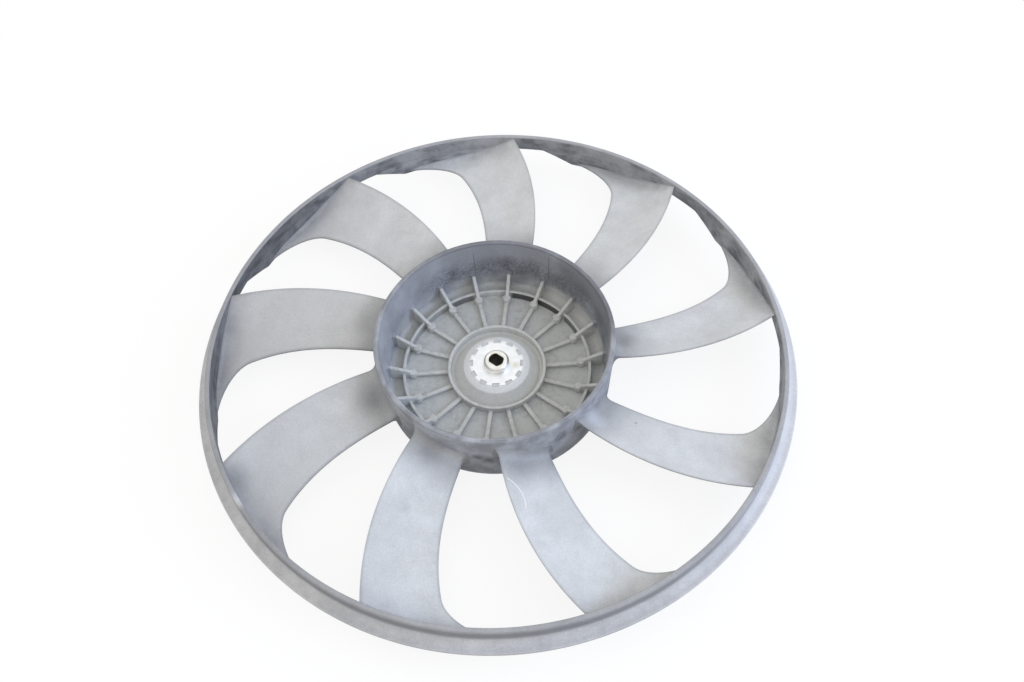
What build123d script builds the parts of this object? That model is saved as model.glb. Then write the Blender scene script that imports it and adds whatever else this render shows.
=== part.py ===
"""Ring-type cooling fan wheel: one moulded wheel, a toothed hub plate and a shaft bush.

The wheel lies on the closed front face of its hub. The origin is on the shaft axis in that
face, +Z points along the shaft towards the open, motor side of the hub. Millimetres, degrees.
"""
import os
from math import cos, pi, radians, sin, sqrt

from build123d import *

# Ring round the blade tips: a wall with a flange turned outwards at its lower end
ring_outer_radius = 195.0
ring_flange_width = 7.0
ring_wall = 3.0
ring_lean = 0.7
ring_rim_z = 35.5
ring_height = 17.3
ring_bend_inside = 1.5
ring_bend_outside = 3.2

# Heel: the ring wall reaches lower where a blade's lower corner joins it
heel_bottom_z = 12.6
heel_lead_in = 5.0
heel_before = 5.0
heel_after = 9.4
heel_run_out = 7.5

# Hub cup, open on the motor side
hub_height = 46.8
hub_rim_radius = 77.5
hub_front_radius = 75.6
hub_wall = 3.4
hub_floor = 3.4
hub_floor_bevel = 2.4
hub_rim_bevel = 0.6

# Blades: angles of the two edges at the hub, with their linear and growing change up to the ring
blade_count = 9
blade_seat = 0.9
upper_edge_angle = 67.0
upper_edge_sweep = 10.6
upper_edge_curl = 3.9
lower_edge_angle = 90.5
lower_edge_sweep = -6.0
lower_edge_curl = 13.5
upper_edge_z = 33.9
lower_edge_z = 19.3
lower_edge_fall = 1.0
lower_edge_dip = 4.0
root_camber = 0.4
tip_camber = 1.0
root_thickness = 3.2
tip_thickness = 2.4
edge_thickness = 1.2
flare_length = 53.0
flare_depth = 23.0
span_stations = 8
chord_stations = 5

# Ribs, posts and fins on the hub floor
rib_count = 18
rib_angle = 18.5
rib_width = 2.8
rib_top_z = 6.4
collar_radius = 33.0
collar_wall = 2.0
collar_top_z = 9.3
band_radius = 63.2
band_wall = 2.0
band_top_z = 9.0
post_circle_radius = 56.5
post_radius = 2.8
post_sides = 8
fin_width = 2.4
fin_top_z = 18.2
fin_pad_width = 4.6
fin_pad_depth = 1.0

# Centre boss
boss_top_z = 12.6
boss_top_radius = 18.6
boss_shoulder_radius = 22.0
boss_shoulder_z = 10.5
boss_base_radius = 28.8

# Toothed plate, moulded into the boss
plate_tip_radius = 17.9
plate_root_radius = 15.8
plate_thickness = 2.0
plate_proud = 0.4
tooth_count = 12
tooth_angle = 9.0
notch_width = 4.8

# Shaft bush with a double-flat bore
bush_radius = 8.5
bush_proud = 4.0
bush_chamfer = 1.4
shaft_radius = 5.0
shaft_across_flats = 8.0
shaft_flat_angle = -42.0

# Levels and radii that follow from the sizes above
ring_wall_outer = ring_outer_radius - ring_flange_width
ring_wall_inner = ring_wall_outer - ring_wall
ring_bottom_z = ring_rim_z - ring_height
ring_flange_top_z = ring_bottom_z + ring_wall
hub_taper = (hub_rim_radius - hub_front_radius) / hub_height
hub_floor_radius = hub_front_radius + hub_taper * hub_floor - hub_wall
plate_top_z = boss_top_z + plate_proud
plate_bottom_z = plate_top_z - plate_thickness
base_aligned = (Align.CENTER, Align.CENTER, Align.MIN)


def hub_outer_radius(z):
    """Radius of the hub's outside at a height."""
    return hub_front_radius + hub_taper * z


def hub_inner_radius(z):
    """Radius of the hub's inside at a height."""
    return hub_outer_radius(z) - hub_wall


def turned(corners, bevels=()):
    """Solid of revolution about Z from (radius, height) corners, some of them bevelled."""
    section = make_face(Polyline(*corners, close=True))
    for corner, length in bevels:
        vertex = section.vertices().sort_by_distance(corner)[0]
        section = chamfer(vertex, length)
    return revolve(Plane.XZ * section, Axis.Z)


def tube(outer_radius, wall, bottom_z, top_z):
    """Upright ring wall between two heights."""
    wall_ring = Circle(outer_radius) - Circle(outer_radius - wall)
    return Pos(0, 0, bottom_z) * extrude(wall_ring, top_z - bottom_z)


def spread(piece, count, first_angle):
    """Copies of a piece at equal angles about Z."""
    return [Rot(0, 0, first_angle + 360 / count * step) * piece for step in range(count)]


# Ring

def ring_band():
    """Ring wall with its outward flange and eased bend."""
    rim_inner = (ring_wall_inner - ring_lean, ring_rim_z)
    rim_outer = (ring_wall_outer - ring_lean, ring_rim_z)
    bend_inside = (ring_wall_outer, ring_flange_top_z)
    flange_top = (ring_outer_radius, ring_flange_top_z)
    flange_bottom = (ring_outer_radius, ring_bottom_z)
    bend_outside = (ring_wall_inner, ring_bottom_z)
    corners = [rim_inner, rim_outer, bend_inside, flange_top, flange_bottom, bend_outside]
    bevels = [(bend_inside, ring_bend_inside), (bend_outside, ring_bend_outside)]
    return turned(corners, bevels)


def ring_heel():
    """Stretch of deeper ring wall at one blade's lower corner."""
    joint_angle = lower_edge_angle + lower_edge_sweep + lower_edge_curl
    top_z = ring_flange_top_z + ring_bend_inside / 2

    def along(angle):
        return ring_wall_outer * sin(radians(angle))

    profile = make_face(
        Polyline(
            (along(-heel_before - heel_lead_in), top_z),
            (along(-heel_before), heel_bottom_z),
            (along(heel_after), heel_bottom_z),
            (along(heel_after + heel_run_out), top_z),
            close=True,
        )
    )
    facing_out = Plane(origin=(0, 0, 0), x_dir=(0, 1, 0), z_dir=(1, 0, 0))
    block = extrude(facing_out * profile, ring_outer_radius)
    return Rot(0, 0, joint_angle) * block & tube(ring_wall_outer, ring_wall, heel_bottom_z, top_z)


# Blades

def blade_point(radius, chord_share, side):
    """Point of a blade's upper (side 1) or lower (side -1) surface.

    chord_share runs from 0 at the upper edge to 1 at the lower edge. Near the ring the lower
    edge flares along the wall in a quarter ellipse. The mean line falls from the upper edge and
    flattens towards the lower one, as a blend of a straight line and a parabola.
    """
    root_radius = hub_outer_radius(lower_edge_z)
    span = (radius - root_radius) / (ring_wall_inner - root_radius)
    upper_angle = radians(upper_edge_angle + upper_edge_sweep * span + upper_edge_curl * span**2)
    lower_angle = radians(lower_edge_angle + lower_edge_sweep * span + lower_edge_curl * span**2)
    flare_share = max(0, 1 - (ring_wall_outer - radius) / flare_depth)
    flare = flare_length * (1 - sqrt(max(0, 1 - flare_share**2))) / radius
    angle = upper_angle + chord_share * (lower_angle + flare - upper_angle)
    rest = max(0, (lower_angle - angle) / (lower_angle - upper_angle))
    camber = root_camber + (tip_camber - root_camber) * span
    low_z = lower_edge_z - lower_edge_fall * span - lower_edge_dip * span**2
    mean_z = low_z + (upper_edge_z - low_z) * ((1 - camber) * rest + camber * rest**2)
    full_thickness = root_thickness + (tip_thickness - root_thickness) * span
    fullness = 1 - (2 * chord_share - 1) ** 4
    thickness = edge_thickness + (full_thickness - edge_thickness) * fullness
    return Vector(radius * cos(angle), radius * sin(angle), mean_z + side * thickness / 2)


def blade_surface(side):
    """One side of a blade, a spline surface through points at stations along span and chord."""
    root = hub_outer_radius(lower_edge_z) - blade_seat
    tip = ring_wall_inner + blade_seat
    steps = span_stations - 1
    radii = [root + (tip - root) * sin(pi / 2 * step / steps) for step in range(span_stations)]
    shares = [step / (chord_stations - 1) for step in range(chord_stations)]
    return Face.make_surface_from_array_of_points([[blade_point(r, s, side) for s in shares] for r in radii])


def blade():
    """One blade, its ends seated in the hub wall and the ring wall."""
    top = blade_surface(1)
    bottom = blade_surface(-1)
    sides = []
    for edge in bottom.edges():
        partner = top.edges().sort_by_distance(edge @ 0.5)[0]
        sides.append(Face.make_surface_from_curves(edge, partner))
    return Solid(Shell([top, bottom, *sides]))


# Hub

def hub_cup():
    """Drafted cup with its floor, bevelled at the rim and the floor corner."""
    front_edge = (hub_front_radius, 0)
    rim_outer = (hub_rim_radius, hub_height)
    rim_inner = (hub_rim_radius - hub_wall, hub_height)
    floor_corner = (hub_floor_radius, hub_floor)
    corners = [(0, 0), front_edge, rim_outer, rim_inner, floor_corner, (0, hub_floor)]
    bevels = [(rim_outer, hub_rim_bevel), (rim_inner, hub_rim_bevel), (floor_corner, hub_floor_bevel)]
    return turned(corners, bevels)


def centre_boss():
    """Raised cone in the middle of the hub floor that holds the plate."""
    return turned(
        [
            (0, 0),
            (boss_base_radius, 0),
            (boss_base_radius, hub_floor),
            (boss_shoulder_radius, boss_shoulder_z),
            (boss_top_radius, boss_top_z),
            (0, boss_top_z),
        ]
    )


def floor_rib():
    """Low radial rib from the collar to a post."""
    length = post_circle_radius - collar_radius + collar_wall
    rib = Box(length, rib_width, rib_top_z, align=(Align.MAX, Align.CENTER, Align.MIN))
    return Pos(post_circle_radius, 0, 0) * rib


def rib_post():
    """Post where a rib meets its fin."""
    return Pos(post_circle_radius, 0, 0) * extrude(RegularPolygon(post_radius, post_sides), band_top_z)


def wall_fin():
    """Gusset from a post up the cup wall, with a narrow pad along the wall."""
    wall_radius = hub_inner_radius(fin_top_z)
    wall_middle = wall_radius + hub_wall / 2
    side = make_face(
        Polyline(
            (post_circle_radius, 0),
            (wall_middle - hub_taper * fin_top_z, 0),
            (wall_middle, fin_top_z),
            (wall_radius, fin_top_z),
            (post_circle_radius, band_top_z),
            close=True,
        )
    )
    fin = extrude(Plane.XZ * side, fin_width / 2, both=True)
    pad = Box(hub_wall, fin_pad_width, fin_top_z, align=(Align.MIN, Align.CENTER, Align.MIN))
    return fin + Pos(wall_radius - fin_pad_depth, 0, 0) * pad


def hub():
    """Hub moulding with its collar, band, ribs, posts, fins and boss."""
    collar = tube(collar_radius, collar_wall, 0, collar_top_z)
    band = tube(band_radius, band_wall, 0, band_top_z)
    spoke = floor_rib() + rib_post() + wall_fin()
    return hub_cup() + collar + band + centre_boss() + spread(spoke, rib_count, rib_angle)


# Inserts

def hub_plate():
    """Stamped plate with square teeth, bored for the bush."""
    notch_length = plate_tip_radius - plate_root_radius
    notch = Pos(plate_root_radius + notch_length, 0) * Rectangle(2 * notch_length, notch_width)
    outline = Circle(plate_tip_radius) - Circle(bush_radius)
    outline -= spread(notch, tooth_count, tooth_angle + 180 / tooth_count)
    return Pos(0, 0, plate_bottom_z) * extrude(outline, plate_thickness)


def shaft_bush():
    """Turned bush through plate and hub, chamfered at its motor end, with a double-flat bore."""
    top_z = plate_top_z + bush_proud
    body = turned(
        [
            (0, 0),
            (bush_radius, 0),
            (bush_radius, top_z - bush_chamfer),
            (bush_radius - bush_chamfer, top_z),
            (0, top_z),
        ]
    )
    bore = Circle(shaft_radius) & Rectangle(2 * shaft_radius, shaft_across_flats)
    return body - extrude(Rot(0, 0, shaft_flat_angle) * bore, top_z)


# The moulded wheel closes round both inserts
plate = hub_plate()
bush = shaft_bush()
blades = spread(blade(), blade_count, 0)
heels = spread(ring_heel(), blade_count, 0)
bush_hole = Cylinder(bush_radius, boss_top_z, align=base_aligned)
wheel = ring_band() + heels + hub() - bush_hole - plate + blades

os.makedirs("parts", exist_ok=True)
for name, solid in (("fan_wheel", wheel), ("hub_plate", plate), ("shaft_bush", bush)):
    export_step(solid, f"parts/{name}.step")
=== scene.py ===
"""Dresses the ring-type cooling fan wheel: a dusty grey moulding, a toothed plate and a shaft bush.

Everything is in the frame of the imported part: the origin on the shaft axis in the hub's front face, +Z
towards the hub's open, motor side. Sizes are written in millimetres and turned to metres when drawn.
"""
import logging
import math
from collections.abc import Sequence
from dataclasses import dataclass, field
from enum import Enum

import bpy
from mathutils import Matrix, Vector


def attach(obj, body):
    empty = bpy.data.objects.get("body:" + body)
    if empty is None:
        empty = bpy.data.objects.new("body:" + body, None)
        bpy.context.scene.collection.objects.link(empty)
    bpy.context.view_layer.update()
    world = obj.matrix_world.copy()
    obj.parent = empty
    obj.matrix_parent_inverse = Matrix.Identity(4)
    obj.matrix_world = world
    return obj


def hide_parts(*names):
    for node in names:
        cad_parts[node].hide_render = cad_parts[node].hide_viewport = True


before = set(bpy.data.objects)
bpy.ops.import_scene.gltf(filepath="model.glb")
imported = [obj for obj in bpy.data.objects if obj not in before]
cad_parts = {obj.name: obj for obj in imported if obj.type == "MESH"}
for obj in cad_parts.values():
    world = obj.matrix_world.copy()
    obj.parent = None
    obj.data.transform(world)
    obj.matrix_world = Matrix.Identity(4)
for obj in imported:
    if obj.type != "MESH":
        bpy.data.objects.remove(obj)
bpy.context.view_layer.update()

LOG = logging.getLogger("fan_wheel")
MM = 0.001
MERGE_GAP = 0.002 * MM
ROOT_BODY = "root"

Corner = tuple[float, float, float]


class Slot(Enum):
    """Material slots of the record."""

    WHEEL = "wheel_plastic"
    PLATE = "plate_zinc"
    BUSH = "bush_metal"


class Node(Enum):
    """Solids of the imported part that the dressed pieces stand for."""

    WHEEL = "fan_wheel"
    PLATE = "hub_plate"
    BUSH = "shaft_bush"


# Modelling steps shared by the pieces


def deselect() -> None:
    """Leaves edit mode and selects nothing."""
    active = bpy.context.object
    if active and active.mode != "OBJECT":
        bpy.ops.object.mode_set(mode="OBJECT")
    bpy.ops.object.select_all(action="DESELECT")


def pick(piece: bpy.types.Object) -> None:
    """Makes a piece the only selected and active one.

    Args:
        piece: the piece to select.
    """
    deselect()
    piece.select_set(True)
    bpy.context.view_layer.objects.active = piece


def named(name: str) -> bpy.types.Object:
    """Names the piece that an operator has just added, and its mesh.

    Args:
        name: the new name.

    Returns:
        The named piece.
    """
    piece = bpy.context.object
    piece.name = name
    piece.data.name = name
    return piece


def applied(piece: bpy.types.Object, kind: str, **settings: object) -> None:
    """Adds a modifier to a piece and applies it.

    Args:
        piece: the piece to change.
        kind: the modifier's type name.
        settings: the modifier's properties.
    """
    pick(piece)
    modifier = piece.modifiers.new(kind, kind)
    for key, value in settings.items():
        setattr(modifier, key, value)
    bpy.ops.object.modifier_apply(modifier=modifier.name)


def joined(name: str, pieces: Sequence[bpy.types.Object]) -> bpy.types.Object:
    """Joins pieces into one object.

    Args:
        name: the name of the joined piece.
        pieces: the pieces, the first of which takes up the others.

    Returns:
        The joined piece.
    """
    pick(pieces[0])
    for piece in pieces:
        piece.select_set(True)
    bpy.ops.object.join()
    return named(name)


def spread(piece: bpy.types.Object, count: int, first_angle: float) -> list[bpy.types.Object]:
    """Copies a piece round Z, each copy with a mesh of its own.

    Args:
        piece: the modelled piece, which becomes the first copy.
        count: how many copies stand round the axis.
        first_angle: the angle of the first one, in degrees.

    Returns:
        All the copies.
    """
    copies = [piece]
    for _ in range(count - 1):
        pick(piece)
        bpy.ops.object.duplicate()
        copies.append(bpy.context.object)
    for step, copy in enumerate(copies):
        turn = math.radians(first_angle + 360 / count * step)
        copy.data.transform(Matrix.Rotation(turn, 4, "Z"))
    return copies


def rounded_path(corners: Sequence[Corner], arc_step: float = 14.0) -> list[Vector]:
    """Turns the corners of a section into a closed path with rounds.

    Args:
        corners: radius, height and rounding of each corner, in millimetres.
        arc_step: the turn of one chord of a round, in degrees.

    Returns:
        Points in the XZ plane, in metres.
    """
    places = [Vector((radius, 0, height)) for radius, height, _ in corners]
    path = []
    for index, (here, corner) in enumerate(zip(places, corners)):
        rounding = corner[2]
        if not rounding:
            path.append(here * MM)
            continue
        to_last = (places[index - 1] - here).normalized()
        to_next = (places[(index + 1) % len(places)] - here).normalized()
        half = to_last.angle(to_next) / 2
        turn = math.pi - 2 * half
        centre = here + (to_last + to_next).normalized() * rounding / math.sin(half)
        start = here + to_last * rounding / math.tan(half) - centre
        end = here + to_next * rounding / math.tan(half) - centre
        chords = max(2, math.ceil(math.degrees(turn) / arc_step))
        for chord in range(chords + 1):
            share = chord / chords
            arm = start * math.sin((1 - share) * turn) + end * math.sin(share * turn)
            path.append((centre + arm / math.sin(turn)) * MM)
    return path


def drawn_outline(name: str, path: Sequence[Vector]) -> bpy.types.Object:
    """Draws a closed outline by extruding one point along a path, and stays in edit mode.

    Args:
        name: the new piece's name.
        path: the outline's points, in metres.

    Returns:
        The new piece, all of it selected.
    """
    deselect()
    bpy.ops.mesh.primitive_plane_add(size=MM)
    piece = named(name)
    bpy.ops.object.mode_set(mode="EDIT")
    bpy.ops.mesh.select_all(action="SELECT")
    bpy.ops.mesh.merge(type="CENTER")
    bpy.ops.transform.translate(value=path[0])
    for start, end in zip(path, [*path[1:], path[0]]):
        bpy.ops.mesh.extrude_vertices_move(TRANSFORM_OT_translate={"value": end - start})
    bpy.ops.mesh.select_all(action="SELECT")
    bpy.ops.mesh.remove_doubles(threshold=MERGE_GAP)
    bpy.ops.mesh.select_all(action="SELECT")
    return piece


def closed(piece: bpy.types.Object) -> bpy.types.Object:
    """Merges a piece's doubles in edit mode, points its faces outwards and leaves edit mode.

    Args:
        piece: the piece that is in edit mode.

    Returns:
        The same piece.
    """
    bpy.ops.mesh.select_all(action="SELECT")
    bpy.ops.mesh.remove_doubles(threshold=MERGE_GAP)
    bpy.ops.mesh.normals_make_consistent(inside=False)
    bpy.ops.object.mode_set(mode="OBJECT")
    return piece


def turned(name: str, corners: Sequence[Corner], steps: int) -> bpy.types.Object:
    """Spins a rounded section about Z.

    Args:
        name: the new piece's name.
        corners: radius, height and rounding of each corner of the section, in millimetres.
        steps: how many steps make the full turn.

    Returns:
        The closed piece.
    """
    piece = drawn_outline(name, rounded_path(corners))
    bpy.ops.mesh.spin(steps=steps, angle=math.tau, center=(0, 0, 0), axis=(0, 0, 1))
    return closed(piece)


def slab(name: str, path: Sequence[Vector], depth: float) -> bpy.types.Object:
    """Fills an outline in the XZ plane and extrudes it evenly to both sides.

    Args:
        name: the new piece's name.
        path: the outline's points, in metres.
        depth: the slab's thickness along Y, in metres.

    Returns:
        The closed slab.
    """
    piece = drawn_outline(name, path)
    bpy.ops.mesh.edge_face_add()
    bpy.ops.transform.translate(value=(0, -depth / 2, 0))
    bpy.ops.mesh.extrude_region_move(TRANSFORM_OT_translate={"value": (0, depth, 0)})
    return closed(piece)


def block(name: str, low: Sequence[float], high: Sequence[float]) -> bpy.types.Object:
    """Adds a box between two corners, with its place in its mesh.

    Args:
        name: the new piece's name.
        low: the lowest corner, in millimetres.
        high: the highest corner, in millimetres.

    Returns:
        The box.
    """
    size = (Vector(high) - Vector(low)) * MM
    middle = (Vector(high) + Vector(low)) / 2 * MM
    deselect()
    bpy.ops.mesh.primitive_cube_add(size=1)
    piece = named(name)
    bpy.ops.object.mode_set(mode="EDIT")
    bpy.ops.transform.resize(value=size)
    bpy.ops.transform.translate(value=middle)
    bpy.ops.object.mode_set(mode="OBJECT")
    return piece


def upright(name: str, radius: float, bottom: float, top: float, sides: int) -> bpy.types.Object:
    """Adds a cylinder about Z, with its place in its mesh.

    Args:
        name: the new piece's name.
        radius: the cylinder's radius, in millimetres.
        bottom: the height of its lower end, in millimetres.
        top: the height of its upper end, in millimetres.
        sides: how many sides it has.

    Returns:
        The cylinder.
    """
    deselect()
    bpy.ops.mesh.primitive_cylinder_add(radius=radius * MM, depth=(top - bottom) * MM, vertices=sides)
    piece = named(name)
    bpy.ops.object.mode_set(mode="EDIT")
    bpy.ops.transform.translate(value=(0, 0, (top + bottom) / 2 * MM))
    bpy.ops.object.mode_set(mode="OBJECT")
    return piece


def eased(piece: bpy.types.Object, width: float, segments: int = 2, sharper_than: float = 40.0) -> None:
    """Bevels a piece's sharp edges.

    Args:
        piece: the piece to ease.
        width: the bevel's width, in millimetres.
        segments: the bevel's segments.
        sharper_than: the least angle between faces that counts as an edge, in degrees.
    """
    applied(
        piece,
        "BEVEL",
        width=width * MM,
        segments=segments,
        limit_method="ANGLE",
        angle_limit=math.radians(sharper_than),
        use_clamp_overlap=True,
    )


def smoothed(piece: bpy.types.Object, angle: float = 32.0) -> None:
    """Shades a piece smooth up to an angle between faces, in degrees."""
    pick(piece)
    bpy.ops.object.shade_smooth_by_angle(angle=math.radians(angle))


def dressed(
    piece: bpy.types.Object, finish: bpy.types.Material, node: Node
) -> bpy.types.Object:
    """Gives a finished piece its material and its place in the part.

    Args:
        piece: the finished piece.
        finish: its material.
        node: the solid that the piece stands for.

    Returns:
        The same piece.
    """
    piece.data.materials.clear()
    piece.data.materials.append(finish)
    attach(piece, ROOT_BODY)
    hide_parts(node.value)
    LOG.info("%s: %d faces", piece.name, len(piece.data.polygons))
    return piece


# Materials


class Measure(Enum):
    """What a zone goes by: millimetres, degrees about the shaft axis, or shares of a blade."""

    RADIUS = "radius"
    HEIGHT = "height"
    AZIMUTH = "azimuth"
    ACROSS = "across"
    SPAN = "span"
    CHORD = "chord"


class Place(Enum):
    """How a point is given: in space, flat on the wheel's plane, or unrolled along the ring."""

    SPACE = "space"
    FLAT = "flat"
    UNROLLED = "unrolled"


def linear(hex_colour: str) -> tuple[float, float, float, float]:
    """Turns an sRGB colour into a linear one.

    Args:
        hex_colour: six hex digits after a hash sign.

    Returns:
        Linear red, green, blue and alpha.
    """
    channels = [int(hex_colour[i : i + 2], 16) / 255 for i in (1, 3, 5)]
    parts = [c / 12.92 if c <= 0.04045 else ((c + 0.055) / 1.055) ** 2.4 for c in channels]
    return (parts[0], parts[1], parts[2], 1.0)


def add_node(
    tree: bpy.types.NodeTree,
    kind: str,
    output: str | int | None,
    inputs: dict[str | int, object],
    **settings: object,
) -> bpy.types.NodeSocket | None:
    """Adds one shader node with its settings, values and links.

    Args:
        tree: the node tree.
        kind: the node's type name.
        output: the output socket that is wanted, or None for a node that has none.
        inputs: values for the node's sockets, or the sockets that feed them.
        settings: the node's own properties.

    Returns:
        The wanted output socket.
    """
    node = tree.nodes.new(kind)
    for key, value in settings.items():
        setattr(node, key, value)
    for key, value in inputs.items():
        if isinstance(value, bpy.types.NodeSocket):
            tree.links.new(value, node.inputs[key])
        else:
            node.inputs[key].default_value = value
    return None if output is None else node.outputs[output]


def blank(name: str) -> bpy.types.Material:
    """Makes a material with an empty node tree.

    Args:
        name: the material's name.

    Returns:
        The new material.
    """
    material = bpy.data.materials.new(name)
    material.use_nodes = True
    material.node_tree.nodes.clear()
    return material


def between(
    tree: bpy.types.NodeTree, value: bpy.types.NodeSocket, low: float, high: float, soft: float
) -> bpy.types.NodeSocket:
    """Makes a mask that is 1 where a value lies between two limits.

    Args:
        tree: the material's node tree.
        value: the value that is tested.
        low: the lower limit.
        high: the upper limit.
        soft: half the width over which each limit fades.

    Returns:
        The mask.
    """
    ends = []
    for dark, light in ((low - soft, low + soft), (high + soft, high - soft)):
        limits = {"Value": value, "From Min": dark, "From Max": light}
        ends.append(
            add_node(tree, "ShaderNodeMapRange", "Result", limits, interpolation_type="SMOOTHSTEP")
        )
    return add_node(tree, "ShaderNodeMath", 0, {0: ends[0], 1: ends[1]}, operation="MULTIPLY")


@dataclass
class Spot:
    """Where a point of the surface lies, and the masks that were already made from it."""

    tree: bpy.types.NodeTree
    places: dict[Place, bpy.types.NodeSocket]
    measures: dict[Measure, bpy.types.NodeSocket]
    masks: dict["Mask", bpy.types.NodeSocket] = field(default_factory=dict)

    @classmethod
    def of(cls, tree: bpy.types.NodeTree) -> "Spot":
        """Adds the nodes that find the spot from Object coordinates.

        Args:
            tree: the material's node tree.

        Returns:
            The spot, in millimetres and degrees.
        """
        metres = add_node(tree, "ShaderNodeTexCoord", "Object", {})
        space = add_node(tree, "ShaderNodeVectorMath", 0, {0: metres, "Scale": 1 / MM}, operation="SCALE")
        flat = add_node(tree, "ShaderNodeVectorMath", 0, {0: space, 1: (1, 1, 0)}, operation="MULTIPLY")
        radius = add_node(tree, "ShaderNodeVectorMath", "Value", {0: flat}, operation="LENGTH")
        height = add_node(tree, "ShaderNodeSeparateXYZ", "Z", {0: space})
        across, along, _ = height.node.outputs
        turn = add_node(tree, "ShaderNodeMath", 0, {0: along, 1: across}, operation="ARCTAN2")
        azimuth = add_node(tree, "ShaderNodeMath", 0, {0: turn}, operation="DEGREES")
        unrolled = add_node(tree, "ShaderNodeCombineXYZ", 0, {0: azimuth, 1: radius, 2: height})
        places = {Place.SPACE: space, Place.FLAT: flat, Place.UNROLLED: unrolled}
        measures = {
            Measure.RADIUS: radius,
            Measure.HEIGHT: height,
            Measure.AZIMUTH: azimuth,
            Measure.ACROSS: across,
        }
        return cls(tree, places, measures)

    def measure(self, kind: Measure) -> bpy.types.NodeSocket:
        """Finds a measure, and reads a blade's own share when it is first asked for.

        Args:
            kind: the measure that is wanted.

        Returns:
            The measure's socket.
        """
        if kind not in self.measures:
            share = add_node(self.tree, "ShaderNodeAttribute", "Fac", {}, attribute_name=kind.value)
            self.measures[kind] = share
        return self.measures[kind]

    def mask(self, mask: "Mask") -> bpy.types.NodeSocket:
        """Finds a mask, and adds its nodes when it is first asked for.

        Args:
            mask: the mask that is wanted.

        Returns:
            The mask's socket.
        """
        if mask not in self.masks:
            self.masks[mask] = mask.drawn(self)
        return self.masks[mask]


@dataclass(frozen=True)
class Zone:
    """Mask between two limits of a measure."""

    measure: Measure
    low: float
    high: float
    soft: float

    def drawn(self, spot: Spot) -> bpy.types.NodeSocket:
        """Adds the mask's nodes at a spot and returns the mask."""
        return between(spot.tree, spot.measure(self.measure), self.low, self.high, self.soft)


@dataclass(frozen=True)
class Away:
    """Mask between two distances from a point, in millimetres."""

    point: Corner
    low: float
    high: float
    soft: float
    place: Place = Place.SPACE

    def drawn(self, spot: Spot) -> bpy.types.NodeSocket:
        """Adds the mask's nodes.

        Args:
            spot: where the point of the surface lies.

        Returns:
            The mask.
        """
        ends = {0: spot.places[self.place], 1: self.point}
        distance = add_node(spot.tree, "ShaderNodeVectorMath", "Value", ends, operation="DISTANCE")
        return between(spot.tree, distance, self.low, self.high, self.soft)


@dataclass(frozen=True)
class Clouds:
    """Mask of cloudy patches of a size in millimetres, 0 at one noise level and 1 at the other."""

    size: float
    low: float
    high: float
    place: Place = Place.SPACE
    detail: float = 4.0
    raggedness: float = 0.6

    def drawn(self, spot: Spot) -> bpy.types.NodeSocket:
        """Adds the mask's nodes.

        Args:
            spot: where the point of the surface lies.

        Returns:
            The mask.
        """
        pattern = {
            "Vector": spot.places[self.place],
            "Scale": 1 / self.size,
            "Detail": self.detail,
            "Roughness": self.raggedness,
        }
        noise = add_node(spot.tree, "ShaderNodeTexNoise", "Fac", pattern)
        levels = {"Value": noise, "From Min": self.low, "From Max": self.high}
        return add_node(spot.tree, "ShaderNodeMapRange", "Result", levels, interpolation_type="SMOOTHSTEP")


def dab(point: Corner, size: float, place: Place = Place.SPACE) -> Away:
    """Gives a soft round mask about a point, both in millimetres."""
    return Away(point, -size, size / 2, size / 2, place)


Mask = Zone | Away | Clouds

# A stain is its colour, the share that it covers where all its masks are 1, and those masks
Stain = tuple[str, float, *tuple[Mask, ...]]


@dataclass(frozen=True, kw_only=True)
class Finish:
    """Material with a clouded colour, which carries stains, painted shade and painted light in the order
    in which they were laid on.
    """

    name: str
    body: str
    pale: str
    clouds: Clouds
    roughness: float

    def stains(self) -> list[Stain]:
        """Lists the stains, of which a clean finish has none."""
        return []

    def shading(self, spot: Spot, colour: bpy.types.NodeSocket) -> dict[str, object]:
        """Gives the shader's inputs for a stained colour at a spot."""
        return {"Base Color": colour, "Roughness": self.roughness}

    def make(self) -> bpy.types.Material:
        """Builds the material.

        Returns:
            The finished material.
        """
        material = blank(self.name)
        tree = material.node_tree
        spot = Spot.of(tree)
        colour = linear(self.body)
        for stain, share, *masks in [(self.pale, 1.0, self.clouds), *self.stains()]:
            amount = share
            for mask in masks:
                factors = {0: spot.mask(mask), 1: amount}
                amount = add_node(tree, "ShaderNodeMath", 0, factors, operation="MULTIPLY")
            layers = {0: amount, 6: colour, 7: linear(stain)}
            colour = add_node(tree, "ShaderNodeMix", 2, layers, data_type="RGBA")
        shader = add_node(tree, "ShaderNodeBsdfPrincipled", "BSDF", self.shading(spot, colour))
        add_node(tree, "ShaderNodeOutputMaterial", None, {"Surface": shader})
        return material
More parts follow.
